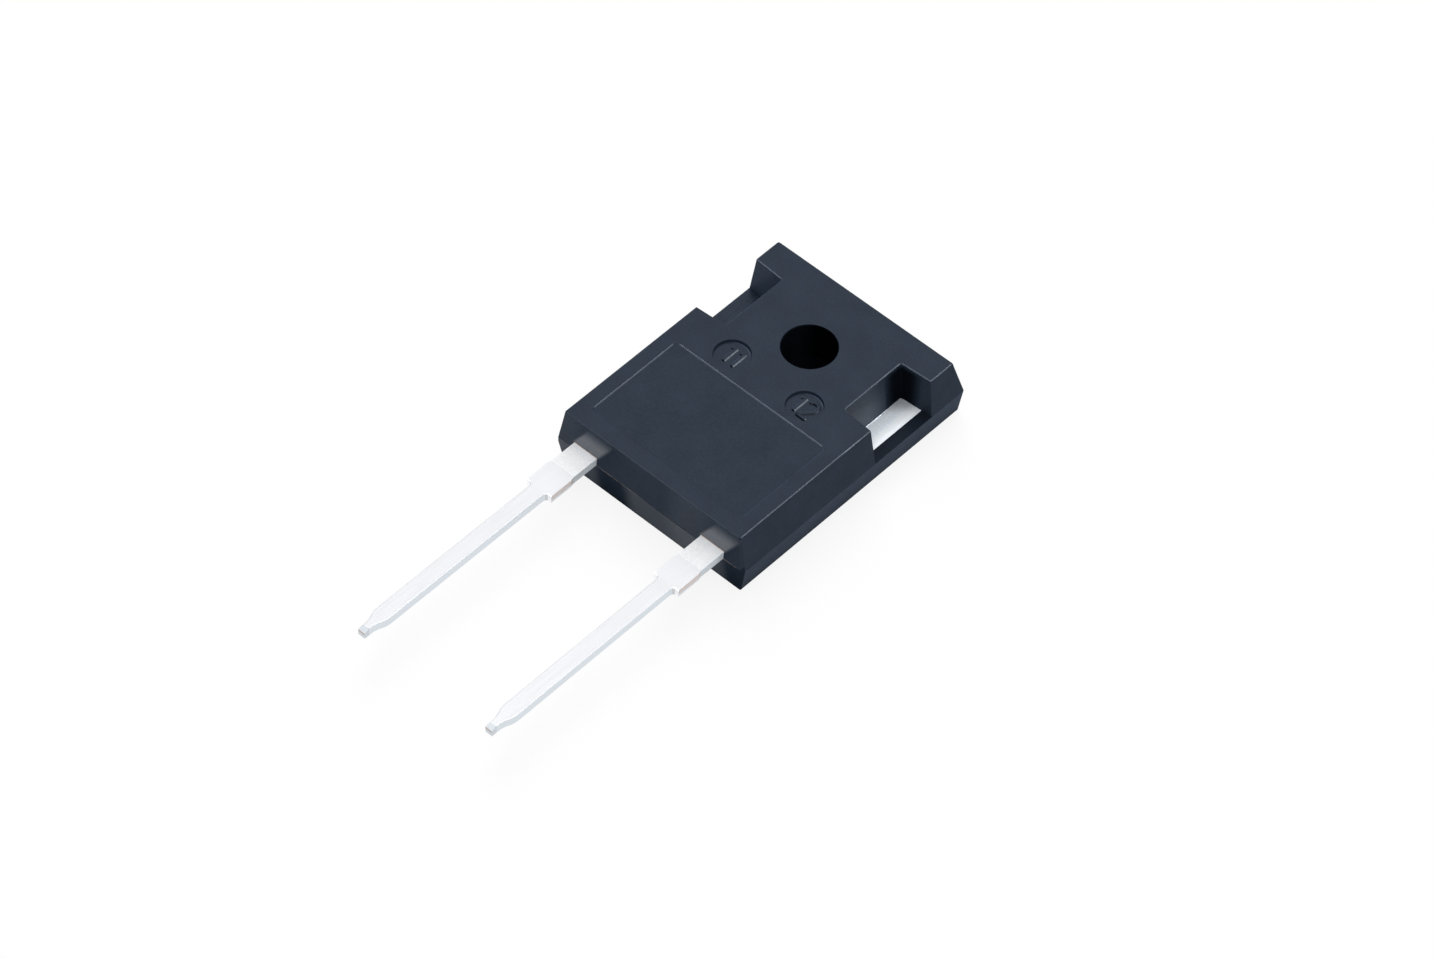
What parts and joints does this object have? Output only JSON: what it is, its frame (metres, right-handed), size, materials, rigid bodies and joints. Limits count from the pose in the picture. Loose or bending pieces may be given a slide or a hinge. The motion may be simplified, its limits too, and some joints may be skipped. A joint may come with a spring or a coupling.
{
  "type": "silicon carbide schottky diode",
  "caption": "Power diode in a drafted black moulding with side notches, a mounting hole, an exposed copper heat spreader and flat shouldered leads that taper to the tips.",
  "frame": {"origin": "on the axis of the mounting hole, in the plane of the heatsink face", "axes": "+Z leaves the moulded front face, +Y points to the end opposite the leads, +X completes the right-handed frame; seen from the front with the leads down, the cathode lead is on the left (-X) and the anode lead on the right (+X)"},
  "size_m": [0.0158, 0.0409, 0.005],
  "materials": {
    "epoxy_moulding": "satin moulded epoxy",
    "tinned_copper": "matte tin plating",
    "silicon_carbide": "polished",
    "solder": "satin",
    "aluminium_wire": "drawn"
  },
  "bodies": {
    "root": {"moulded_body": "epoxy_moulding", "cathode_leadframe": "tinned_copper", "anode_lead": "tinned_copper", "sic_die": "silicon_carbide", "die_solder": "solder", "bond_wire_1": "aluminium_wire", "bond_wire_2": "aluminium_wire"}
  },
  "joints": []
}
